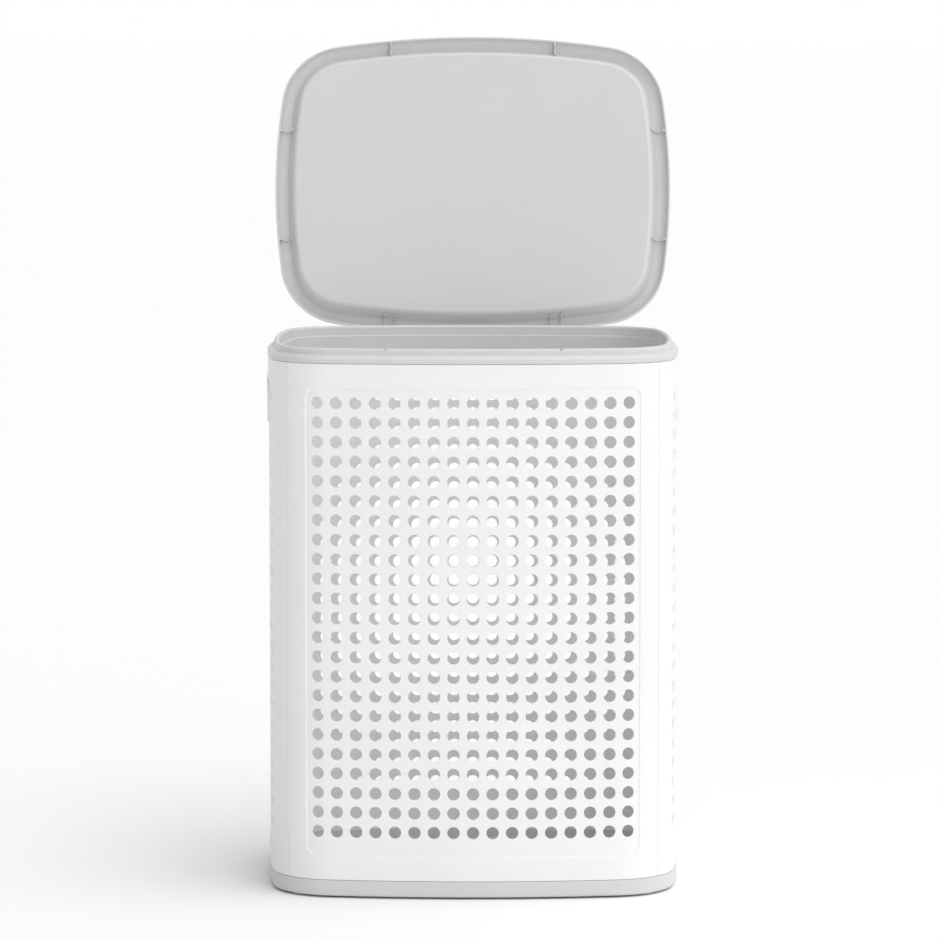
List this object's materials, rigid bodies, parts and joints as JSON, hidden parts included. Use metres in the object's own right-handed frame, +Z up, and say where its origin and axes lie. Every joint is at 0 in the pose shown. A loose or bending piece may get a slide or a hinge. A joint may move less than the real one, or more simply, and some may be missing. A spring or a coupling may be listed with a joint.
{
  "type": "laundry hamper with hinged lid",
  "caption": "Tall rounded-rectangular laundry hamper with perforated white walls, hand holes, a grey base and collar, and a hinged lid shown open.",
  "frame": {"origin": "on the floor, under the middle of the body's footprint", "axes": "+Z up, -Y towards the front, +X to the viewer's right; the lid's hinge is at the rear, +Y"},
  "size_m": [0.4414, 0.4737, 0.8948],
  "materials": {
    "white_plastic": "satin moulded",
    "grey_plastic": "satin moulded",
    "pin_plastic": "smooth",
    "foot_rubber": "matt"
  },
  "bodies": {
    "hamper": {"base_tray": "grey_plastic", "foot_front_left": "foot_rubber", "foot_front_right": "foot_rubber", "foot_rear_left": "foot_rubber", "foot_rear_right": "foot_rubber", "front_panel": "white_plastic", "rear_panel": "white_plastic", "left_side_panel": "white_plastic", "right_side_panel": "white_plastic", "top_collar": "grey_plastic", "hinge_pin_left": "pin_plastic", "hinge_pin_right": "pin_plastic"},
    "lid": {"lid": "grey_plastic"}
  },
  "joints": [
    {"name": "lid_hinge", "type": "hinge", "parent": "hamper", "child": "lid", "pos_m": [0, 0.175, 0.5689], "axis": [1, 0, 0], "range_deg": [0, 109]}
  ]
}
